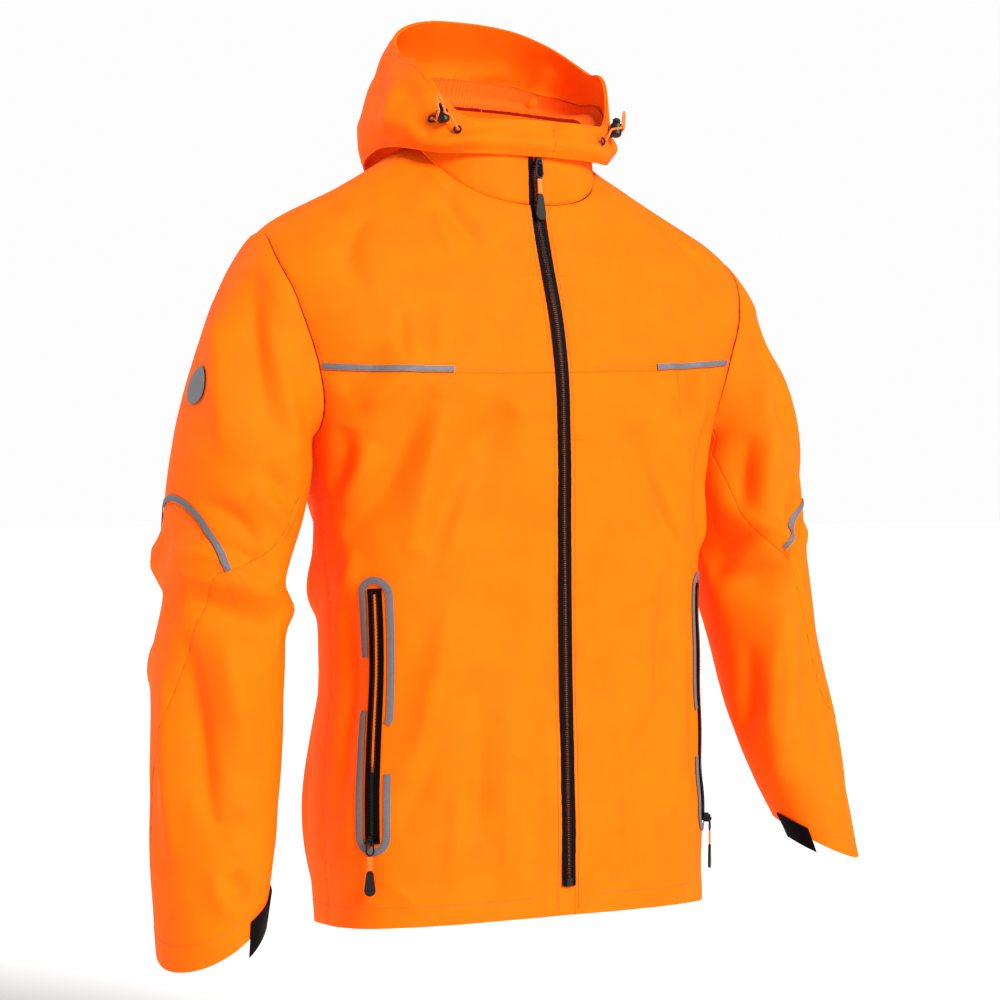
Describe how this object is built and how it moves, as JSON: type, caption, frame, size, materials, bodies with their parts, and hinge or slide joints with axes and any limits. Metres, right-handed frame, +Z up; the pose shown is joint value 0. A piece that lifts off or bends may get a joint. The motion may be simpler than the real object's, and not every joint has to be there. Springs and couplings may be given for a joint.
{
  "type": "hi-vis hooded work jacket",
  "caption": "Hooded full-zip hi-vis work jacket, hollow and shaped as worn, with zipped side pockets, reflective trims, cuff tabs and hood drawcord stoppers.",
  "frame": {"origin": "between the shoulders, on the body's middle plane, where the garment rests on the wearer", "axes": "+Z up, the front faces -Y, the wearer's left is +X"},
  "size_m": [0.7766, 0.28, 0.958],
  "materials": {
    "shell_cloth": "matt bonded polyester shell, fluorescent orange",
    "mesh_lining": "open warp-knit mesh",
    "reflective_tape": "glass-bead reflective tape",
    "zip_tape": "coated zip tape and coil",
    "cuff_tab": "moulded hook tab",
    "black_plastic": "moulded",
    "orange_cord": "braided cord"
  },
  "bodies": {
    "root": {"back": "shell_cloth", "chest_strip_left": "reflective_tape", "chest_strip_right": "reflective_tape", "collar": "shell_cloth", "cuff_tab_left": "cuff_tab", "cuff_tab_right": "cuff_tab", "drawcord_left_1": "orange_cord", "drawcord_left_2": "orange_cord", "drawcord_left_loop": "orange_cord", "drawcord_right_1": "orange_cord", "drawcord_right_2": "orange_cord", "drawcord_right_loop": "orange_cord", "eyelet_left_1": "black_plastic", "eyelet_left_2": "black_plastic", "eyelet_right_1": "black_plastic", "eyelet_right_2": "black_plastic", "front_left": "shell_cloth", "front_right": "shell_cloth", "hood_back": "shell_cloth", "hood_facing": "shell_cloth", "hood_left": "shell_cloth", "hood_lining": "mesh_lining", "hood_right": "shell_cloth", "pocket_left_slider": "black_plastic", "pocket_piping_lower_left": "reflective_tape", "pocket_piping_lower_right": "reflective_tape", "pocket_piping_upper_left": "reflective_tape", "pocket_piping_upper_right": "reflective_tape", "pocket_right_slider": "black_plastic", "pocket_zip_left": "zip_tape", "pocket_zip_right": "zip_tape", "sleeve_badge": "reflective_tape", "sleeve_lower_left": "shell_cloth", "sleeve_lower_right": "shell_cloth", "sleeve_strip_left": "reflective_tape", "sleeve_strip_right": "reflective_tape", "sleeve_under_left": "shell_cloth", "sleeve_under_right": "shell_cloth", "sleeve_upper_left": "shell_cloth", "sleeve_upper_right": "shell_cloth", "stopper_button_left": "black_plastic", "stopper_button_right": "black_plastic", "stopper_left": "black_plastic", "stopper_right": "black_plastic", "wind_flap": "shell_cloth", "yoke_left": "shell_cloth", "yoke_right": "shell_cloth", "zip_coil": "zip_tape", "zip_slider": "black_plastic", "zip_tape_left": "zip_tape", "zip_tape_right": "zip_tape"},
    "zip_pull": {"zip_pull_grip": "black_plastic", "zip_pull_loop": "black_plastic", "zip_pull_strap": "orange_cord"},
    "pocket_right_pull": {"pocket_right_pull_grip": "black_plastic", "pocket_right_pull_loop": "black_plastic", "pocket_right_pull_strap": "orange_cord"},
    "pocket_left_pull": {"pocket_left_pull_grip": "black_plastic", "pocket_left_pull_loop": "black_plastic", "pocket_left_pull_strap": "orange_cord"}
  },
  "joints": [
    {"name": "zip_pull_swing", "type": "hinge", "parent": "root", "child": "zip_pull", "pos_m": [0, -0.05866, 0.0149], "axis": [-1, 0, 0], "range_deg": [0, 150]},
    {"name": "pocket_right_pull_swing", "type": "hinge", "parent": "root", "child": "pocket_right_pull", "pos_m": [-0.19877, -0.07287, -0.6587], "axis": [-0.6619, 0.7496, 0], "range_deg": [0, 150]},
    {"name": "pocket_left_pull_swing", "type": "hinge", "parent": "root", "child": "pocket_left_pull", "pos_m": [0.19877, -0.07287, -0.6587], "axis": [-0.6619, -0.7496, 0], "range_deg": [0, 150]}
  ]
}
